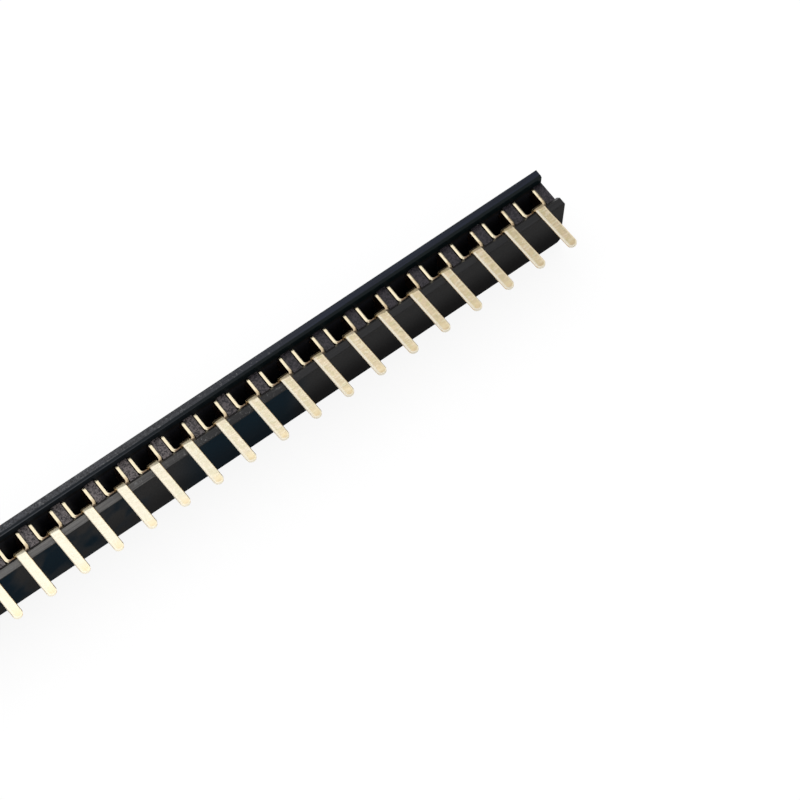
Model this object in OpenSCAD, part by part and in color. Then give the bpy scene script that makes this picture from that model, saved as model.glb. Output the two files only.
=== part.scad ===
// Right-angle, low-profile female pin header strip, one row, 2.54 mm pitch.
// It lies on its mating face: X runs along the row, Z points away from the mating face,
// -Y is the side that faces the circuit board and that the tails point to.

/* [Row] */
// Number of contact positions in the row
positions = 40; // [4:1:50]
// Distance between neighbouring positions
pitch = 2.54; // [2.3:0.01:3.2]
// Plastic beyond the last position, measured from its centre to the end face
end_reach = 1.58; // [1.3:0.01:2.4]

/* [Body] */
// Thickness of the body, from the board side to the roof
body_t = 3.04; // [2.7:0.01:4]
// Depth of the body along the mating direction
body_h = 5.3; // [4.8:0.01:8]
// Wall between the board and the contacts
board_wall = 0.83; // [0.6:0.01:1]
// Roof over the contacts
roof_wall = 0.6; // [0.4:0.01:0.9]
// Partition between two neighbouring cavities
partition_t = 0.68; // [0.4:0.01:0.9]
// Wall between the mating face and the cavities
front_wall = 0.82; // [0.7:0.01:1.1]
// Depth of the channel that runs along the back, down to the partitions
channel_depth = 0.87; // [0.5:0.01:1.1]
// Chamfer along the back edge of the roof, on the side of the channel
roof_chamfer = 0.15; // [0.05:0.01:0.2]
// Height of the steeper chamfer on the board-side wall, which makes room for the tails
wall_chamfer = 0.46; // [0.3:0.01:0.6]
// Small bevel along the outer edges that the mould leaves
edge_bevel = 0.04; // [0.02:0.01:0.15]
// Bevel between the end faces and the mating face
end_bevel = 0.27; // [0.1:0.01:0.4]

/* [Sockets] */
// Height of the pin axis above the board side
pin_height = 1.45; // [1.3:0.01:1.6]
// Side of the square funnel at the mating face
mouth_w = 1.6; // [1.2:0.01:1.8]
// Side of the square throat behind the funnel
throat_w = 0.86; // [0.72:0.01:1.1]
// Depth of the funnel
funnel_depth = 0.56; // [0.3:0.01:0.65]

/* [Gate mark] */
// Width of the oval recess in one end face, across the body
gate_w = 1.18; // [0.6:0.01:1.4]
// Length of the recess along the mating direction
gate_l = 1.7; // [1.4:0.01:2.2]
// Depth of the recess
gate_depth = 0.16; // [0.05:0.01:0.2]
// Distance from the mating face to the middle of the recess
gate_z = 3.4; // [2:0.01:3.6]

/* [Contacts] */
// Thickness of the contact sheet
sheet = 0.2; // [0.15:0.01:0.3]
// Gap between a contact and the cavity wall on each side
side_clear = 0.04; // [0.01:0.01:0.06]
// Gap between the blades of a contact and the roof
top_clear = 0.14; // [0.05:0.01:0.2]
// How far the contacts stand out of the partitions
contact_proud = 0.1; // [0:0.01:0.2]
// Inner radius where the base turns up into the blades
fold_r = 0.2; // [0.05:0.01:0.25]
// Length of the full U section, from its back edge to the root of the springs
box_l = 1.55; // [1:0.01:1.9]
// Width of a spring arm at its root
spring_w = 0.82; // [0.6:0.01:0.9]
// Width of a spring arm at its tip
spring_tip_w = 0.56; // [0.4:0.01:0.7]
// Gap between the two spring arms where they grip a pin
spring_gap = 0.4; // [0.2:0.01:0.55]
// Distance from the front wall to the grip point
grip_back = 0.72; // [0.6:0.01:0.9]
// Gap between the spring tips and the front wall
tip_clear = 0.16; // [0.1:0.01:0.3]
// Spread of the spring tips away from the pin, in degrees
tip_flare = 26; // [15:1:35]
// Bend radius of the sheet at the grip point, to its middle
grip_r = 0.42; // [0.3:0.01:0.6]
// Length of a barb on top of a blade
barb_l = 0.34; // [0.2:0.01:0.5]

/* [Tails] */
// Width of a tail
tail_w = 0.7; // [0.5:0.01:0.9]
// How far the tails reach past the board side of the body
tail_reach = 2.95; // [2:0.01:4]
// Inner radius of the bend over the board-side wall
tail_bend_r = 0.38; // [0.3:0.01:0.6]
// How far the bend falls short of a right angle, in degrees
tail_lean = 6; // [2:1:10]
// Gap between a tail and the back edge of the wall it passes
tail_gap = 0.02; // [0.01:0.01:0.1]
// How far the flat back edge of the wall reaches in under the bend
wall_under_bend = 0.08; // [0.04:0.01:0.1]
// Rounding of the stamped edges, as a bevel
tail_bevel = 0.05; // [0.02:0.01:0.08]

/* [Hidden] */
function two_digits(n) = n < 10 ? str("0", n) : str(n);
function contact_name(n) = str("contact_", two_digits(n));

$fn = 48;
over = 0.5;                                       // how far a cutter runs past a face

// Along the row
body_l = (positions - 1) * pitch + 2 * end_reach;
function position_x(n) = (n - (positions + 1) / 2) * pitch;

// Across the body, from the board side at board_y
board_y = -body_t / 2;
roof_y = body_t / 2;
pin_y = board_y + pin_height;
floor_y = board_y + board_wall;                   // the contact base lies on this level
ceiling_y = roof_y - roof_wall;

// Along the mating direction
partition_z = body_h - channel_depth;             // back faces of the partitions
contact_z = partition_z + contact_proud;          // back edges of the contacts
spring_root_z = contact_z - box_l;
grip_z = front_wall + grip_back;
spring_tip_z = front_wall + tip_clear;

// Contact section
cavity_w = pitch - partition_t;
contact_w = cavity_w - 2 * side_clear;
blade_x = contact_w / 2 - sheet / 2;              // middle of a blade
blade_top_y = ceiling_y - top_clear;
fold_out = fold_r + sheet;

// Spring arm, seen along Y: it leans in on the tangent to the bend at the grip point
grip_x = spring_gap / 2 + sheet / 2;
root_from_bend = [blade_x - grip_x - grip_r, spring_root_z - grip_z];
lean = atan2(root_from_bend[0], root_from_bend[1]) + asin(grip_r / norm(root_from_bend));
arc_steps = 6;

// Tail
tail_in_z = body_h + tail_gap;                    // highest point of the bend on its inner side
tail_tip_y = board_y - tail_reach;
bend_y = floor_y - tail_bend_r;
bend_z = tail_in_z - tail_bend_r;
bend_out = tail_bend_r + sheet;
tail_run = (bend_y - tail_tip_y) / cos(tail_lean) + tail_bend_r * tan(tail_lean);
wall_top_y = bend_y + wall_under_bend;            // where the wall's chamfer starts

// A prism along X whose outline is given as [y, z]
module along_x(length, outline) {
    rotate([90, 0, 90])
        translate([0, 0, -length / 2])
            linear_extrude(length) polygon(outline);
}

// A prism along Y whose outline is given as [x, z]
module along_y(y0, y1, outline) {
    translate([0, y1, 0])
        rotate([90, 0, 0])
            linear_extrude(y1 - y0) polygon(outline);
}

// A rectangle with its four corners bevelled, as a list of points
function bevelled(x0, y0, x1, y1, b) = [
    [x0 + b, y0], [x1 - b, y0], [x1, y0 + b], [x1, y1 - b],
    [x1 - b, y1], [x0 + b, y1], [x0, y1 - b], [x0, y0 + b]
];

// A part of a ring of sheet, of middle radius r, between two angles less than 180 degrees apart
module ring_part(r, a0, a1) {
    reach = 4 * r + 4 * sheet;
    intersection() {
        difference() {
            circle(r + sheet / 2);
            circle(r - sheet / 2);
        }
        polygon([
            [0, 0],
            [reach * cos(a0), reach * sin(a0)],
            [reach * cos((a0 + a1) / 2), reach * sin((a0 + a1) / 2)],
            [reach * cos(a1), reach * sin(a1)]
        ]);
    }
}

// ---- Housing ----

// The block before anything is cored out of it
module body_block() {
    half_l = body_l / 2;
    intersection() {
        along_x(body_l, bevelled(board_y, 0, roof_y, body_h, edge_bevel));
        along_y(board_y - over, roof_y + over, [
            [-half_l + end_bevel, 0], [half_l - end_bevel, 0],
            [half_l, end_bevel], [half_l, body_h - edge_bevel],
            [half_l - edge_bevel, body_h], [-half_l + edge_bevel, body_h],
            [-half_l, body_h - edge_bevel], [-half_l, end_bevel]
        ]);
    }
}

// The channel along the back, open at both ends
module back_channel() {
    along_x(body_l + 2 * over, [
        [floor_y, partition_z],
        [ceiling_y, partition_z],
        [ceiling_y, body_h - roof_chamfer],
        [ceiling_y + roof_chamfer, body_h],
        [ceiling_y + roof_chamfer, body_h + over],
        [wall_top_y, body_h + over],
        [wall_top_y, body_h],
        [floor_y, body_h - wall_chamfer]
    ]);
}

// One contact cavity, open to the channel
module cavity() {
    translate([-cavity_w / 2, floor_y, front_wall])
        cube([cavity_w, ceiling_y - floor_y, partition_z - front_wall + over / 5]);
}

// One square funnel and its throat
module socket() {
    grow = (mouth_w - throat_w) / 2 / funnel_depth;
    mouth = mouth_w / 2 + grow * over;
    throat = throat_w / 2;
    intersection() {
        along_y(pin_y - mouth - over, pin_y + mouth + over, [
            [-mouth, -over], [mouth, -over],
            [throat, funnel_depth], [throat, front_wall + over / 5],
            [-throat, front_wall + over / 5], [-throat, funnel_depth]
        ]);
        along_x(2 * mouth + over, [
            [pin_y - mouth, -over], [pin_y + mouth, -over],
            [pin_y + throat, funnel_depth], [pin_y + throat, front_wall + over / 5],
            [pin_y - throat, front_wall + over / 5], [pin_y - throat, funnel_depth]
        ]);
    }
}

// The oval recess that the moulding gate leaves in one end
module gate_recess() {
    offset_z = (gate_l - gate_w) / 2;
    translate([-body_l / 2 - over, 0, gate_z])
        rotate([0, 90, 0])
            linear_extrude(over + gate_depth) {
                translate([offset_z, 0]) circle(gate_w / 2);
                translate([-offset_z, 0]) circle(gate_w / 2);
                square([2 * offset_z, gate_w], center = true);
            }
}

module housing() {
    color([0.13, 0.135, 0.14])
        difference() {
            body_block();
            back_channel();
            gate_recess();
            for (n = [1 : positions])
                translate([position_x(n), 0, 0]) {
                    cavity();
                    socket();
                }
        }
}

// ---- Contact ----

// Base and two blades in one folded section, seen along Z
module u_section() {
    half_w = contact_w / 2;
    translate([-half_w + fold_out, floor_y]) square([contact_w - 2 * fold_out, sheet]);
    for (side = [-1, 1]) {
        translate([side * blade_x - sheet / 2, floor_y + fold_out])
            square([sheet, blade_top_y - floor_y - fold_out]);
        translate([side * (half_w - fold_out), floor_y + fold_out])
            ring_part(fold_r + sheet / 2, side > 0 ? -90 : 180, side > 0 ? 0 : 270);
    }
}

// A tooth on top of each blade that digs into the roof and keeps the contact in place
module barbs() {
    crown = barb_l / 4;
    barb_z = contact_z - box_l / 2;
    for (side = [-1, 1])
        translate([side * blade_x, 0, 0])
            along_x(sheet, [
                [blade_top_y - sheet, barb_z - barb_l],
                [blade_top_y, barb_z - barb_l],
                [ceiling_y, barb_z - crown],
                [ceiling_y, barb_z],
                [blade_top_y, barb_z],
                [blade_top_y - sheet, barb_z]
            ]);
}

// Points along a round stretch, seen along Y
function arc_points(centre, r, a0, a1, steps) = [
    for (i = [0 : steps])
        let (a = a0 + (a1 - a0) * i / steps)
        centre + r * [cos(a), sin(a)]
];

// One spring arm on the +X side as a curve in the X-Z plane, before it is given its width
module spring_profile() {
    half = sheet / 2;
    bend = [grip_x + grip_r, grip_z];             // the bend's centre lies outside the arm
    along_tip = [sin(tip_flare), -cos(tip_flare)];
    across_tip = [cos(tip_flare), sin(tip_flare)];
    tip_l = (grip_z - grip_r * sin(tip_flare) - spring_tip_z) / cos(tip_flare);
    tip = bend - grip_r * across_tip + tip_l * along_tip;
    polygon(concat(
        [[blade_x + half, contact_z - box_l / 2], [blade_x - half, contact_z - box_l / 2]],
        [[blade_x - half, spring_root_z]],
        arc_points(bend, grip_r + half, 180 - lean, 180 + tip_flare, arc_steps),
        [tip - half * across_tip, tip + half * across_tip],
        arc_points(bend, grip_r - half, 180 + tip_flare, 180 - lean, arc_steps),
        [[blade_x + half, spring_root_z]]
    ));
}

module spring_arms() {
    root = spring_w / 2;
    tip = spring_tip_w / 2;
    intersection() {
        for (side = [0, 1])
            mirror([side, 0, 0])
                translate([0, pin_y + root, 0])
                    rotate([90, 0, 0])
                        linear_extrude(spring_w) spring_profile();
        along_x(contact_w + over, [
            [pin_y - tip, spring_tip_z - over], [pin_y + tip, spring_tip_z - over],
            [pin_y + root, spring_root_z], [pin_y + root, contact_z],
            [pin_y - root, contact_z], [pin_y - root, spring_root_z]
        ]);
    }
}

// The tail: straight back beside the wall, a bend over it, then down past the board side
module tail() {
    half_w = tail_w / 2;
    section = bevelled(-half_w, 0, half_w, sheet, tail_bevel);
    // Run from the base to the bend
    translate([0, floor_y, contact_z - sheet])
        linear_extrude(bend_z - contact_z + sheet) polygon(section);
    translate([0, bend_y, bend_z]) {
        // Bend
        rotate([0, 90, 0])
            rotate([0, 0, 90])
                rotate_extrude(angle = 90 - tail_lean)
                    translate([tail_bend_r, 0])
                        polygon(bevelled(0, -half_w, sheet, half_w, tail_bevel));
        // Straight stretch with its round end
        rotate([-tail_lean, 0, 0])
            intersection() {
                along_y(-tail_run - over, 0, [
                    for (p = section) [p[0], p[1] + tail_bend_r]
                ]);
                linear_extrude(bend_out + over) {
                    translate([0, half_w - tail_run]) circle(half_w);
                    translate([-half_w, half_w - tail_run])
                        square([tail_w, tail_run - half_w]);
                }
            }
    }
}

module contact(n) {
    color([0.89, 0.8, 0.58])
        translate([position_x(n), 0, 0]) {
            translate([0, 0, spring_root_z])
                linear_extrude(box_l) u_section();
            barbs();
            spring_arms();
            tail();
        }
}

housing();
for (n = [1 : positions])
    contact(n);
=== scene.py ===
import math

import bpy
from mathutils import Matrix, Quaternion, Vector


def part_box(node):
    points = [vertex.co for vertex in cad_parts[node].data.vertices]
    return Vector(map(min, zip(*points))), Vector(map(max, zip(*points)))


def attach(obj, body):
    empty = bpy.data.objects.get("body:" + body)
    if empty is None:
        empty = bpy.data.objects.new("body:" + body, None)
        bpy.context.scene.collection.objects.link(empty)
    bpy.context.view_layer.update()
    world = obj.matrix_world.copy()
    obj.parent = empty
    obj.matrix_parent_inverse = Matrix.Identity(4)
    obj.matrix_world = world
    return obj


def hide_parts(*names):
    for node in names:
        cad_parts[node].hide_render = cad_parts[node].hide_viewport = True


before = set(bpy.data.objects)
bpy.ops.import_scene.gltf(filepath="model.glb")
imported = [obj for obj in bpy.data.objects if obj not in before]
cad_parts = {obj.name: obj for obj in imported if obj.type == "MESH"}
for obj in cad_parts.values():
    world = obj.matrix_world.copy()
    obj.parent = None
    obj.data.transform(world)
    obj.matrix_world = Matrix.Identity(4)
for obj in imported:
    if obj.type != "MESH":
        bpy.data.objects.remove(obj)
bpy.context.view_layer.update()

# ---- Camera ----
# The eye is high over the board side of the strip, a little towards its left-hand end, so that the
# back, the tails and the board face show. The rest of the row runs out of the picture.
aim_point = Vector((0.03577, -0.004465, 0.0))
eye_azimuth = math.radians(-41.09)
eye_elevation = math.radians(64.80)
eye_roll = math.radians(4.33)
eye_distance = 0.29908

eye_direction = Vector((
    math.sin(eye_azimuth) * math.cos(eye_elevation),
    -math.cos(eye_azimuth) * math.cos(eye_elevation),
    math.sin(eye_elevation),
))
camera_data = bpy.data.cameras.new("camera")
camera_data.lens = 209.87
camera_data.sensor_width = 36.0
camera = bpy.data.objects.new("camera", camera_data)
camera.rotation_mode = "QUATERNION"
camera.rotation_quaternion = (-eye_direction).to_track_quat("-Z", "Y") @ Quaternion((0, 0, 1), eye_roll)
camera.location = aim_point + eye_direction * eye_distance
bpy.context.scene.collection.objects.link(camera)
bpy.context.scene.camera = camera


# ---- Housing ----
# One block of black glass-filled plastic, injection moulded with its sockets, cavities and channel.
# It is satin and finely grained. Its back edges turn grey with painted light towards the lamp's end, the
# partitions are speckled where the cores left them and lighter there, and the face that lies on the board is
# matt, with painted shade and reflection.
land_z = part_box("housing")[1].z * 1000          # back edges of the two long walls, in mm
channel_depth = 0.87                            # from there down to the partitions
roof_chamfer = 0.15                             # along the inner edge of the roof
partition_z = land_z - channel_depth
edge_radius = 0.00003                           # in metres, on the sharp edges of housing and contacts


def add_node(tree, kind, **settings):
    """A new shader node of a kind, with its properties set."""
    node = tree.nodes.new("ShaderNode" + kind)
    for name, value in settings.items():
        setattr(node, name, value)
    return node


def feed(tree, socket, value):
    """Joins a socket to another node's output, or writes a plain value on it."""
    if isinstance(value, bpy.types.NodeSocket):
        tree.links.new(value, socket)
    else:
        socket.default_value = value


def calculate(tree, operation, first, second=0.0):
    """The result of a sum on two numbers."""
    node = add_node(tree, "Math", operation=operation)
    feed(tree, node.inputs[0], first)
    feed(tree, node.inputs[1], second)
    return node.outputs["Value"]


def rise(tree, value, start, end, low=0.0, high=1.0):
    """A number that goes smoothly from low to high while value goes from start to end."""
    node = add_node(tree, "MapRange", interpolation_type="SMOOTHSTEP")
    labels = ("Value", "From Min", "From Max", "To Min", "To Max")
    for label, entry in zip(labels, (value, start, end, low, high)):
        feed(tree, node.inputs[label], entry)
    return node.outputs["Result"]


def mix_colours(tree, share, first, second, way="MIX"):
    """The first colour, with a share of the second laid on it."""
    node = add_node(tree, "Mix", data_type="RGBA", blend_type=way)
    feed(tree, node.inputs[0], share)
    feed(tree, node.inputs[6], first)
    feed(tree, node.inputs[7], second)
    return node.outputs[2]


def scale_vector(tree, vector, by):
    """A vector multiplied part by part with another."""
    node = add_node(tree, "VectorMath", operation="MULTIPLY")
    feed(tree, node.inputs[0], vector)
    feed(tree, node.inputs[1], by)
    return node.outputs["Vector"]


def position_in_mm(tree):
    """The point of the part that is shaded, as a vector in millimetres."""
    coordinates = add_node(tree, "TexCoord")
    return scale_vector(tree, coordinates.outputs["Object"], (1000, 1000, 1000))


def split(tree, vector):
    """The x, y and z of a vector."""
    node = add_node(tree, "SeparateXYZ")
    feed(tree, node.inputs[0], vector)
    return node.outputs["X"], node.outputs["Y"], node.outputs["Z"]


def facing(tree):
    """The x, y and z of the direction in which the surface faces, in the part's own frame."""
    return split(tree, add_node(tree, "TexCoord").outputs["Normal"])


def new_material(name):
    """A material with a plain Principled shader, its node tree and the shader."""
    material = bpy.data.materials.new(name)
    material.use_nodes = True
    return material, material.node_tree, material.node_tree.nodes["Principled BSDF"]


def new_group(name, **inputs):
    """A node group that takes the named numbers and vectors and puts out one number, Value."""
    group = bpy.data.node_groups.new(name, "ShaderNodeTree")
    for label, start in inputs.items():
        kind = "NodeSocketVector" if isinstance(start, tuple) else "NodeSocketFloat"
        socket = group.interface.new_socket(label.replace("_", " "), in_out="INPUT", socket_type=kind)
        socket.default_value = start
    group.interface.new_socket("Value", in_out="OUTPUT", socket_type="NodeSocketFloat")
    return group, group.nodes.new("NodeGroupInput"), group.nodes.new("NodeGroupOutput")


def place_group(tree, group, **values):
    """Puts a group in a tree with its own values, and gives its output."""
    node = add_node(tree, "Group", node_tree=group)
    for label, value in values.items():
        feed(tree, node.inputs[label.replace("_", " ")], value)
    return node.outputs["Value"]


def rounded_copy(node_name, piece_name, radius, steps):
    """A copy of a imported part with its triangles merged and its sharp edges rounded."""
    piece = bpy.data.objects.new(piece_name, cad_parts[node_name].data.copy())
    bpy.context.scene.collection.objects.link(piece)
    bpy.ops.object.select_all(action="DESELECT")
    piece.select_set(True)
    bpy.context.view_layer.objects.active = piece
    bpy.ops.object.mode_set(mode="EDIT")
    bpy.ops.mesh.select_all(action="SELECT")
    bpy.ops.mesh.remove_doubles(threshold=0.000001)
    bpy.ops.mesh.dissolve_limited(angle_limit=math.radians(1))
    bpy.ops.object.mode_set(mode="OBJECT")
    rounding = piece.modifiers.new("rounding", "BEVEL")
    rounding.limit_method = "ANGLE"
    rounding.angle_limit = math.radians(25)
    rounding.width = radius
    rounding.segments = steps
    bpy.ops.object.modifier_apply(modifier=rounding.name)
    bpy.ops.object.shade_smooth_by_angle(angle=math.radians(40))
    flat_faces = piece.modifiers.new("flat_faces", "WEIGHTED_NORMAL")
    flat_faces.keep_sharp = True
    bpy.ops.object.modifier_apply(modifier=flat_faces.name)
    return piece


# Grain: noise with a given number of grains per mm along each axis. Equal numbers give specks, and
# one small number gives streaks along that axis. Contrast 1 leaves it soft, and more hardens it.
grain, source, result = new_group(
    "grain", Position=(0.0, 0.0, 0.0), Per_mm=(10.0, 10.0, 10.0), Contrast=1.0, Seed=0.0
)
noise = add_node(grain, "TexNoise", noise_dimensions="4D")
feed(grain, noise.inputs["Vector"], scale_vector(grain, source.outputs["Position"], source.outputs["Per mm"]))
feed(grain, noise.inputs["W"], source.outputs["Seed"])
feed(grain, noise.inputs["Scale"], 1.0)
feed(grain, noise.inputs["Detail"], 2.0)
half_width = calculate(grain, "DIVIDE", 0.25, source.outputs["Contrast"])
hardened = add_node(grain, "MapRange")
feed(grain, hardened.inputs["Value"], noise.outputs["Fac"])
feed(grain, hardened.inputs["From Min"], calculate(grain, "SUBTRACT", 0.5, half_width))
feed(grain, hardened.inputs["From Max"], calculate(grain, "ADD", 0.5, half_width))
feed(grain, result.inputs["Value"], hardened.outputs["Result"])

# Curls: thin crooked pale lines, a given number per mm, as a rough steel core leaves on plastic.
curls, source, result = new_group("curls", Position=(0.0, 0.0, 0.0), Per_mm=5.0, Width=0.06, Seed=0.0)
noise = add_node(curls, "TexNoise", noise_dimensions="4D")
feed(curls, noise.inputs["Vector"], source.outputs["Position"])
feed(curls, noise.inputs["W"], source.outputs["Seed"])
feed(curls, noise.inputs["Scale"], source.outputs["Per mm"])
feed(curls, noise.inputs["Detail"], 1.0)
feed(curls, noise.inputs["Distortion"], 0.8)
off_line = calculate(curls, "ABSOLUTE", calculate(curls, "SUBTRACT", noise.outputs["Fac"], 0.5))
feed(curls, result.inputs["Value"], rise(curls, off_line, source.outputs["Width"], 0.0))

# Dust: a few round specks, one at most in each cell of a given width. Share is how many cells have one.
dust, source, result = new_group("dust", Position=(0.0, 0.0, 0.0), Cell=0.8, Radius=0.04, Share=0.1)
cells = add_node(dust, "TexVoronoi", feature="F1")
per_mm = calculate(dust, "DIVIDE", 1.0, source.outputs["Cell"])
feed(dust, cells.inputs["Vector"], source.outputs["Position"])
feed(dust, cells.inputs["Scale"], per_mm)
reach = calculate(dust, "MULTIPLY", source.outputs["Radius"], per_mm)
inside = calculate(dust, "LESS_THAN", cells.outputs["Distance"], reach)
chance = split(dust, cells.outputs["Color"])[0]
chosen = calculate(dust, "LESS_THAN", chance, source.outputs["Share"])
feed(dust, result.inputs["Value"], calculate(dust, "MULTIPLY", inside, chosen))

# Light falloff: 1 at Centre, fading to 0 towards both ends. Colour mixed in by it is painted light, brighter
# towards the lamp's end of the row.
light_falloff, source, result = new_group(
    "light_falloff", Position=(0.0, 0.0, 0.0), Centre=16.0, Right_end=44.0, Left_end=-30.0
)
along = split(light_falloff, source.outputs["Position"])[0]
right_of = rise(light_falloff, along, source.outputs["Right end"], source.outputs["Centre"])
left_of = rise(light_falloff, along, source.outputs["Left end"], source.outputs["Centre"])
feed(light_falloff, result.inputs["Value"], calculate(light_falloff, "MINIMUM", right_of, left_of))

plastic, tree, shader = new_material("black_plastic")
position = position_in_mm(tree)
along, across, height = split(tree, position)
_, face_y, face_z = facing(tree)

faces_back = rise(tree, face_z, 0.85, 0.97)
faces_board = rise(tree, face_y, -0.85, -0.97)
on_partition = rise(tree, height, partition_z + 0.3, partition_z + 0.1)
on_partition = calculate(tree, "MULTIPLY", faces_back, on_partition)
on_land = calculate(tree, "MULTIPLY", faces_back, rise(tree, height, land_z - 0.3, land_z - 0.1))
on_wall = calculate(tree, "MULTIPLY", on_land, rise(tree, across, -0.5, -0.8))
# These three masks paint light: they lighten the lands, the wall's back edge and the partition specks towards
# the lamp's end of the row.
painted_light_land = place_group(tree, light_falloff, Position=position, Centre=19.0, Right_end=36.0, Left_end=-25.0)
painted_light_wall = place_group(tree, light_falloff, Position=position, Centre=11.0, Right_end=25.0, Left_end=-20.0)
painted_light_cells = place_group(tree, light_falloff, Position=position, Centre=19.0, Right_end=32.5, Left_end=-25.0)
between_walls = rise(tree, calculate(tree, "ABSOLUTE", across), 1.3, 1.1)
in_cavity = rise(tree, height, partition_z - 0.1, partition_z - 0.4)
in_cavity = calculate(tree, "MULTIPLY", between_walls, in_cavity)
in_cavity = calculate(tree, "MULTIPLY", in_cavity, rise(tree, height, 0.05, 0.6))
# Painted shade: the board face darkens towards its foot, less so at the left-hand end.
board_foot_shade = calculate(tree, "MULTIPLY", faces_board, rise(tree, height, 4.6, 0.8))
board_foot_shade = calculate(tree, "MULTIPLY", board_foot_shade, rise(tree, along, 14, 26, 0.4, 1.0))
under_roof = calculate(tree, "MULTIPLY", rise(tree, across, 0.72, 0.82), rise(tree, across, 1.35, 1.25))
under_roof = calculate(tree, "MULTIPLY", under_roof, rise(tree, height, partition_z, partition_z + 0.1))

specks = place_group(tree, grain, Position=position, Per_mm=(8.0, 8.0, 8.0), Contrast=3.2)
broken = place_group(tree, grain, Position=position, Per_mm=(5.0, 5.0, 5.0), Contrast=2.0, Seed=6.0)
squiggles = place_group(tree, curls, Position=position, Per_mm=5.0, Width=0.05)
squiggles = calculate(tree, "MULTIPLY", broken, squiggles)
scratches = place_group(tree, curls, Position=position, Per_mm=2.6, Width=0.02, Seed=7.0)
scratches = calculate(tree, "MULTIPLY", scratches, broken)
specks = calculate(tree, "MAXIMUM", calculate(tree, "MULTIPLY", specks, 0.6), squiggles)
fine = place_group(tree, grain, Position=position, Per_mm=(9.0, 9.0, 9.0), Contrast=1.0, Seed=3.0)
streaks = place_group(tree, grain, Position=position, Per_mm=(0.25, 11.0, 11.0), Contrast=1.2, Seed=5.0)
patches = place_group(tree, grain, Position=position, Per_mm=(0.45, 0.3, 0.3), Contrast=3.0, Seed=8.0)

colour = mix_colours(tree, fine, (0.012, 0.012, 0.012, 1), (0.026, 0.025, 0.025, 1))
patches = calculate(tree, "MULTIPLY", patches, rise(tree, along, 20, 16))
# Painted reflection: bluish patches on the board face.
teal_reflection = calculate(tree, "MULTIPLY", rise(tree, along, 19.5, 23), rise(tree, along, 31, 28.5))
teal_reflection = calculate(tree, "MULTIPLY", calculate(tree, "MAXIMUM", teal_reflection, patches), 0.9)
teal_reflection = calculate(tree, "MULTIPLY", teal_reflection, calculate(tree, "SUBTRACT", faces_board, between_walls))
colour = mix_colours(tree, teal_reflection, colour, (0.001, 0.017, 0.032, 1))
colour = mix_colours(tree, board_foot_shade, colour, (0.50, 0.48, 0.48, 1), "MULTIPLY")
# Painted light: the roof's inner side is lighter towards the left-hand end.
roof_side_falloff = rise(tree, along, 12.5, 34)
roof_side_falloff = mix_colours(tree, roof_side_falloff, (0.018, 0.024, 0.031, 1), (0.006, 0.012, 0.014, 1))
colour = mix_colours(tree, under_roof, colour, roof_side_falloff)
# Painted highlight: a pale line along the lower edge of the roof's chamfer, towards the left-hand end.
off_edge = calculate(tree, "ABSOLUTE", calculate(tree, "SUBTRACT", height, land_z - roof_chamfer))
edge_highlight = calculate(tree, "MULTIPLY", rise(tree, off_edge, 0.06, 0.02), rise(tree, along, 28, 8))
colour = mix_colours(tree, calculate(tree, "MULTIPLY", edge_highlight, under_roof), colour, (0.10, 0.11, 0.125, 1))
colour = mix_colours(tree, in_cavity, colour, (0.030, 0.034, 0.045, 1))
# Painted light: the lands and the wall's back edge turn grey towards the lamp's end.
land_colour = mix_colours(tree, painted_light_land, (0.004, 0.009, 0.024, 1), (0.037, 0.039, 0.045, 1))
wall_colour = mix_colours(tree, painted_light_wall, (0.014, 0.014, 0.015, 1), (0.14, 0.135, 0.13, 1))
land_colour = mix_colours(tree, on_wall, land_colour, wall_colour)
streaked = mix_colours(tree, streaks, (0.6, 0.6, 0.62, 1), (1.4, 1.4, 1.35, 1))
land_colour = mix_colours(tree, 1.0, land_colour, streaked, "MULTIPLY")
# Painted highlight along the inner edges of the lands.
inner_edge_highlight = rise(tree, calculate(tree, "ABSOLUTE", across), 1.20, 1.12)
inner_edge_highlight = calculate(tree, "MULTIPLY", inner_edge_highlight, painted_light_land)
land_colour = mix_colours(tree, inner_edge_highlight, land_colour, (1.2, 1.2, 1.18, 1), "MULTIPLY")
pitted = calculate(tree, "MULTIPLY", rise(tree, along, 30, 14), rise(tree, across, 0.0, 1.0))
pitting = mix_colours(tree, specks, (0.5, 0.5, 0.5, 1), (2.4, 2.4, 2.4, 1))
land_colour = mix_colours(tree, pitted, land_colour, pitting, "MULTIPLY")
# The pale scratches show only where the painted light falls.
scratched = calculate(tree, "MULTIPLY", scratches, rise(tree, painted_light_land, 0.1, 0.7))
land_colour = mix_colours(tree, scratched, land_colour, (0.20, 0.20, 0.20, 1))
colour = mix_colours(tree, on_land, colour, land_colour)
# Painted light: the partition specks are paler towards the lamp's end.
dark_speck = mix_colours(tree, painted_light_cells, (0.014, 0.013, 0.018, 1), (0.022, 0.019, 0.022, 1))
pale_speck = mix_colours(tree, painted_light_cells, (0.080, 0.067, 0.081, 1), (0.325, 0.282, 0.280, 1))
colour = mix_colours(tree, on_partition, colour, mix_colours(tree, specks, dark_speck, pale_speck))
fluff = place_group(tree, dust, Position=position, Cell=0.9, Radius=0.035, Share=0.05)
colour = mix_colours(tree, fluff, colour, (0.35, 0.33, 0.31, 1))
feed(tree, shader.inputs["Base Color"], colour)
feed(tree, shader.inputs["Roughness"], rise(tree, fine, 0.0, 1.0, 0.5, 0.7))
shader.inputs["Specular IOR Level"].default_value = 0.0

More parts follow.
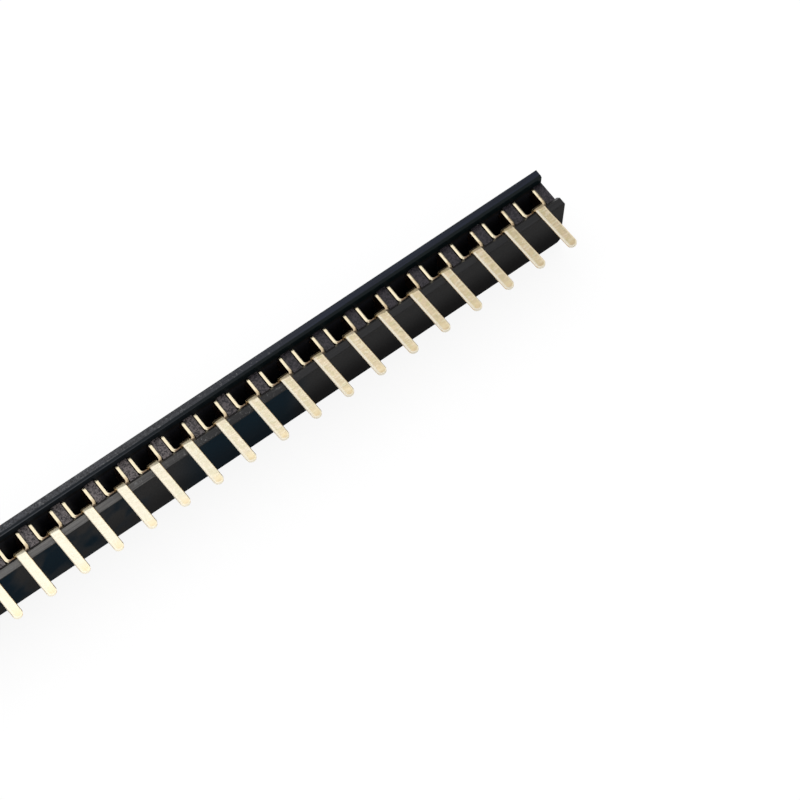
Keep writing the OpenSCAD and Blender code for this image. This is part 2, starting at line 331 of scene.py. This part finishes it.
sheen = calculate(tree, "SUBTRACT", 0.62, calculate(tree, "MULTIPLY", faces_board, 0.49))
dulled = calculate(tree, "MULTIPLY", calculate(tree, "MAXIMUM", teal_reflection, board_foot_shade), 0.09)
sheen = calculate(tree, "SUBTRACT", sheen, dulled)
on_chamfer = rise(tree, across, -1.02, -0.98)
on_chamfer = calculate(tree, "MULTIPLY", on_chamfer, rise(tree, across, -0.66, -0.70))
on_chamfer = calculate(tree, "MULTIPLY", on_chamfer, rise(tree, along, 24, 8, 0.0, 0.35))
sheen = calculate(tree, "SUBTRACT", sheen, calculate(tree, "MULTIPLY", on_chamfer, between_walls))
feed(tree, shader.inputs["Coat Weight"], sheen)
shader.inputs["Coat Roughness"].default_value = 0.35

bump = add_node(tree, "Bump")
bump.inputs["Strength"].default_value = 0.6
bump.inputs["Distance"].default_value = 0.000006
moulded_grain = calculate(tree, "ADD", specks, calculate(tree, "MULTIPLY", streaks, on_land))
feed(tree, bump.inputs["Height"], moulded_grain)
feed(tree, shader.inputs["Normal"], bump.outputs["Normal"])
housing = rounded_copy("housing", "housing_block", edge_radius, 2)
housing.material_slots[0].material = plastic
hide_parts("housing")
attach(housing, "root")


# ---- Contacts ----
# Forty pieces stamped from thin copper alloy, folded to a box with two springs, and gold plated.
# The flats are satin with faint marks across the tails, the upward flats and left rims carry painted
# highlights, the sides painted shade, the base's back edge is dark brown with painted shade in its fold, and
# inside the box is painted shade.
contact_count = 40
pitch = 2.54                                    # from one contact to the next, in mm
tip_centre = 4.12                               # from the row's axis to the middle of the round tips
base_reach, blade_reach = 0.5, 0.72             # from its middle to its base's end and its blades
gold, tree, shader = new_material("gold_plating")
position = position_in_mm(tree)
along, across, height = split(tree, position)
face_x, _, face_z = facing(tree)
wrapped = add_node(tree, "Math", operation="WRAP")
feed(tree, wrapped.inputs[0], along)
wrapped.inputs[1].default_value = pitch
wrapped.inputs[2].default_value = 0.0
offset = calculate(tree, "SUBTRACT", wrapped.outputs["Value"], pitch / 2)
sideways = calculate(tree, "ABSOLUTE", offset)

faces_back = rise(tree, face_z, 0.7, 0.97)
marks = place_group(tree, grain, Position=position, Per_mm=(2.2, 7.5, 3.0), Contrast=2.4, Seed=1.0)
clouds = place_group(tree, grain, Position=position, Per_mm=(3.4, 3.0, 3.0), Contrast=1.6, Seed=2.0)
pits = place_group(tree, grain, Position=position, Per_mm=(12.0, 12.0, 12.0), Contrast=1.3, Seed=4.0)

deep_gold = (1.0, 0.79, 0.47, 1)
pale_gold = (1.0, 0.865, 0.58, 1)
highlight_gold = (0.975, 0.925, 0.755, 1)
# Painted highlight: upward flats are paler than the rest, and paler still towards the lamp's end.
painted_falloff = place_group(tree, light_falloff, Position=position)
colour = mix_colours(tree, faces_back, deep_gold, mix_colours(tree, painted_falloff, pale_gold, highlight_gold))
# The mottle is real; its growth towards the right, deeper gold with stronger tints and marks, is painted
# shade of the falloff.
mottle_and_shade = rise(tree, along, 10.0, 34.0, 0.15, 1.0)
tints = mix_colours(tree, clouds, (0.80, 0.81, 0.65, 1), (1.0, 0.93, 0.90, 1))
colour = mix_colours(tree, mottle_and_shade, colour, tints, "MULTIPLY")
marked = calculate(tree, "MULTIPLY", calculate(tree, "MULTIPLY", marks, mottle_and_shade), 0.48)
colour = mix_colours(tree, marked, colour, (0.78, 0.64, 0.47, 1))
glints = calculate(tree, "MULTIPLY", rise(tree, marks, 0.35, 0.0), mottle_and_shade)
glints = calculate(tree, "MULTIPLY", glints, 0.35)
colour = mix_colours(tree, glints, colour, (1.0, 0.95, 0.84, 1))
tip = rise(tree, across, -3.5, -4.3, 0.0, 0.6)
colour = mix_colours(tree, tip, colour, (1.0, 0.82, 0.50, 1))
tip_end = calculate(tree, "MULTIPLY", rise(tree, across, -4.1, -4.4, 0.0, 0.7), mottle_and_shade)
colour = mix_colours(tree, tip_end, colour, (0.78, 0.60, 0.36, 1))
on_tail = rise(tree, across, -0.85, -1.0)
past_centre = calculate(tree, "MINIMUM", calculate(tree, "ADD", across, tip_centre), 0.0)
offset_squared = calculate(tree, "MULTIPLY", offset, offset)
past_centre_squared = calculate(tree, "MULTIPLY", past_centre, past_centre)
from_middle = calculate(tree, "SQRT", calculate(tree, "ADD", offset_squared, past_centre_squared))
# Painted highlight: a bright rim along the left edges and round the tips of the tails.
rim_highlight = calculate(tree, "MAXIMUM", rise(tree, face_x, -0.2, -0.5), rise(tree, offset, -0.15, -0.28))
rim_highlight = calculate(tree, "MULTIPLY", rim_highlight, rise(tree, across, -4.4, -4.1))
rim_highlight = calculate(tree, "MAXIMUM", rim_highlight, rise(tree, from_middle, 0.22, 0.29))
rim_highlight = calculate(tree, "MULTIPLY", rim_highlight, on_tail)
rim_highlight_gold = mix_colours(tree, rise(tree, offset, -0.1, 0.1), (1.0, 0.92, 0.74, 1), (1.0, 0.91, 0.66, 1))
colour = mix_colours(tree, rim_highlight, colour, rim_highlight_gold)
# Painted shade: the tails' side faces turn deeper orange on the right-hand side, and on both sides towards
# the row's right end.
to_side = calculate(tree, "ABSOLUTE", face_x)
shaded_sides = calculate(tree, "MULTIPLY", rise(tree, to_side, 0.8, 0.95), rise(tree, along, 22, 42))
shaded_sides = calculate(tree, "MAXIMUM", shaded_sides, rise(tree, face_x, 0.3, 0.6))
shaded_sides = calculate(tree, "MULTIPLY", shaded_sides, on_tail)
colour = mix_colours(tree, shaded_sides, colour, (0.88, 0.62, 0.34, 1))
low = calculate(tree, "MULTIPLY", rise(tree, height, 4.8, 4.6), faces_back)
# Painted shade in the fold from base to blade; the base's back edge is dark brown.
fold_shade = rise(tree, sideways, 0.82, 0.68)
fold_shade = calculate(tree, "MULTIPLY", fold_shade, rise(tree, across, -0.40, -0.52))
on_base = calculate(tree, "MAXIMUM", rise(tree, sideways, blade_reach, base_reach), fold_shade)
on_base = calculate(tree, "MULTIPLY", on_base, low)
on_blade = calculate(tree, "MULTIPLY", rise(tree, sideways, base_reach, blade_reach), low)
colour = mix_colours(tree, on_blade, colour, (0.76, 0.67, 0.47, 1))
right_blade = calculate(tree, "MULTIPLY", on_blade, rise(tree, offset, 0.0, 0.5))
blade_foot = calculate(tree, "MULTIPLY", rise(tree, across, 0.0, -0.3), right_blade)
colour = mix_colours(tree, blade_foot, colour, (0.72, 0.65, 0.60, 1), "MULTIPLY")
stained = calculate(tree, "MULTIPLY", rise(tree, clouds, 0.35, 0.8), rise(tree, along, 28, 46))
stained = calculate(tree, "MULTIPLY", stained, right_blade)
colour = mix_colours(tree, stained, colour, (0.76, 0.68, 0.62, 1), "MULTIPLY")
colour = mix_colours(tree, on_base, colour, (0.20, 0.14, 0.09, 1))
# Painted shade: everything inside the housing, below the partitions, is dark brown.
shaded_in_box = rise(tree, height, 4.50, 4.30)
colour = mix_colours(tree, shaded_in_box, colour, (0.32, 0.18, 0.11, 1))
feed(tree, shader.inputs["Base Color"], colour)
# The painted rim highlight is less metallic, so it stays pale.
rim_highlight_diffuse = calculate(tree, "MULTIPLY", rim_highlight, rise(tree, along, 12, 34, 0.1, 0.55))
feed(tree, shader.inputs["Metallic"], calculate(tree, "SUBTRACT", 1.0, rim_highlight_diffuse))
satin = rise(tree, pits, 0.0, 1.0, 0.28, 0.34)
satin = calculate(tree, "SUBTRACT", satin, calculate(tree, "MULTIPLY", on_blade, 0.14))
feed(tree, shader.inputs["Roughness"], satin)

relief = calculate(tree, "MULTIPLY", calculate(tree, "MULTIPLY", marks, on_tail), 0.002)
relief = calculate(tree, "ADD", relief, calculate(tree, "MULTIPLY", pits, 0.0005))
lean = calculate(tree, "MULTIPLY", offset, 0.065)
lean = calculate(tree, "ADD", lean, calculate(tree, "MULTIPLY", across, 0.07))
lean = calculate(tree, "MULTIPLY", lean, rise(tree, across, -0.75, -0.5))
upper = calculate(tree, "MAXIMUM", calculate(tree, "SUBTRACT", across, 0.05), 0.0)
upper_squared = calculate(tree, "MULTIPLY", upper, upper)
lean = calculate(tree, "ADD", lean, calculate(tree, "MULTIPLY", upper_squared, 0.08))
relief = calculate(tree, "ADD", relief, lean)
bump = add_node(tree, "Bump")
bump.inputs["Distance"].default_value = 0.001
feed(tree, bump.inputs["Height"], relief)
feed(tree, shader.inputs["Normal"], bump.outputs["Normal"])

first_contact = rounded_copy("contact_01", "plated_contact_01", edge_radius, 2)
first_contact.material_slots[0].material = gold
plated = [first_contact]
for number in range(2, contact_count + 1):
    contact = bpy.data.objects.new(f"plated_contact_{number:02d}", first_contact.data.copy())
    bpy.context.scene.collection.objects.link(contact)
    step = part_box(f"contact_{number:02d}")[0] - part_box("contact_01")[0]
    contact.data.transform(Matrix.Translation(step))
    plated.append(contact)
for number, contact in enumerate(plated, start=1):
    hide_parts(f"contact_{number:02d}")
    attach(contact, "root")


# ---- Floor ----
# A plain white table top that the strip stands on. It isn't part of the strip.
bpy.ops.object.select_all(action="DESELECT")
bpy.ops.mesh.primitive_plane_add(size=4.0)
floor = bpy.context.active_object
floor.name = "floor"
floor_paint, tree, shader = new_material("floor_paint")
shader.inputs["Base Color"].default_value = (0.2, 0.2, 0.2, 1)
shader.inputs["Roughness"].default_value = 0.9
shader.inputs["Specular IOR Level"].default_value = 0.0
shader.inputs["Emission Color"].default_value = (1, 1, 1, 1)
path = add_node(tree, "LightPath")
seen = calculate(tree, "MAXIMUM", path.outputs["Is Camera Ray"], path.outputs["Is Glossy Ray"])
seen = calculate(tree, "MAXIMUM", seen, path.outputs["Is Transmission Ray"])
feed(tree, shader.inputs["Emission Strength"], calculate(tree, "MULTIPLY", seen, 0.86))
floor.data.materials.append(floor_paint)


# ---- Light ----
# Soft studio light: one broad lamp above the roof side, towards the left-hand end, and a grey room.
# Shiny faces mirror a room of their own: white at the row's left end, pale grey at its right end and
# a darker grey everywhere else. Only camera rays see the white background.
lamp_data = bpy.data.lights.new("soft_box", "AREA")
lamp_data.shape = "RECTANGLE"
lamp_data.size = 0.42
lamp_data.size_y = 0.40
lamp_radiance = 1.02
lamp_data.energy = lamp_radiance * math.pi * lamp_data.size * lamp_data.size_y
lamp = bpy.data.objects.new("soft_box", lamp_data)
lamp.location = (-0.055, 0.20, 0.35)
lamp.rotation_euler = (0, 0, math.radians(14))
lamp.visible_camera = False
bpy.context.scene.collection.objects.link(lamp)

world = bpy.data.worlds.new("room")
world.use_nodes = True
bpy.context.scene.world = world
tree = world.node_tree
toward_x, toward_y, _ = split(tree, add_node(tree, "TexCoord").outputs["Generated"])
left = rise(tree, toward_x, -0.15, -0.45)
right = rise(tree, toward_x, 0.5, 0.85)
back = rise(tree, toward_y, 0.6, 0.9)
mirrored = mix_colours(tree, left, (0.33, 0.33, 0.34, 1), (1.0, 1.0, 1.0, 1))
mirrored = mix_colours(tree, right, mirrored, (0.60, 0.60, 0.60, 1))
mirrored = mix_colours(tree, back, mirrored, (0.34, 0.33, 0.31, 1))
path = add_node(tree, "LightPath")
seen = calculate(tree, "MAXIMUM", path.outputs["Is Glossy Ray"], path.outputs["Is Transmission Ray"])
room_colour = mix_colours(tree, seen, (0.60, 0.60, 0.61, 1), mirrored)
room_colour = mix_colours(tree, path.outputs["Is Camera Ray"], room_colour, (1, 1, 1, 1))
feed(tree, tree.nodes["Background"].inputs["Color"], room_colour)

bpy.context.scene.view_settings.view_transform = "Standard"
